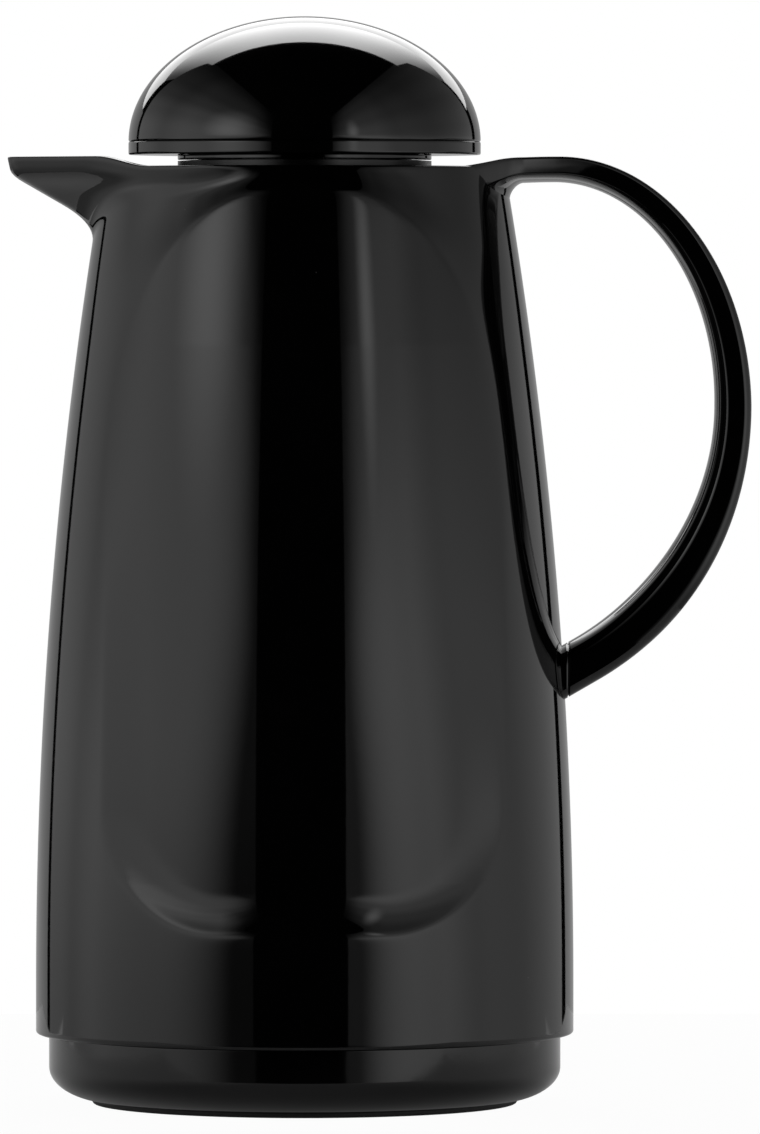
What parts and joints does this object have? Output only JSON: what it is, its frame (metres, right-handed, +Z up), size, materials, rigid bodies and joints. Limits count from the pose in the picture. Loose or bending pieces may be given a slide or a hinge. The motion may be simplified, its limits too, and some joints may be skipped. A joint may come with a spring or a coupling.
{
  "type": "thermal jug",
  "caption": "Tall black thermal jug with a pouring beak, a loop handle, a domed screw stopper and a glass vacuum flask inside.",
  "frame": {"origin": "on the jug's axis, in the plane of the foot ring", "axes": "+Z up along the jug's axis, -X towards the beak, +X towards the handle"},
  "size_m": [0.1932, 0.14, 0.2828],
  "materials": {
    "body_black": "gloss",
    "handle_black": "gloss",
    "base_black": "gloss",
    "lid_black": "gloss",
    "inner_black": "satin",
    "foot_rubber": "matt",
    "seal_rubber": "satin",
    "silvered_glass": "silvered",
    "spacer_grey": "matt",
    "foam_white": "matt",
    "screw_steel": "bright"
  },
  "bodies": {
    "jug": {"body_shell": "body_black", "handle_shell": "handle_black", "handle_insert": "handle_black", "handle_screw": "screw_steel", "base_cap": "base_black", "foot_ring": "foot_rubber", "flask_outer": "silvered_glass", "flask_inner": "silvered_glass", "flask_spacers": "spacer_grey", "mouth_seal": "seal_rubber", "flask_cushion": "foot_rubber", "neck_collar": "inner_black"},
    "seal": {"stopper_seal": "seal_rubber"},
    "stopper": {"lid_plate": "lid_black", "dome_cover": "lid_black", "stopper_plug": "inner_black", "plug_keeper": "inner_black", "stopper_foam": "foam_white"}
  },
  "joints": [
    {"name": "stopper_rise", "type": "slide", "parent": "jug", "child": "seal", "axis": [0, 0, 1], "range_m": [0, 0.032]},
    {"name": "stopper_turn", "type": "hinge", "parent": "seal", "child": "stopper", "pos_m": [0, 0, 0.23], "axis": [0, 0, 1], "range_deg": [0, 1440]}
  ],
  "couplings": [
    {"joint": "stopper_rise", "follows": "stopper_turn", "m_per_rad": 0.0012732}
  ]
}
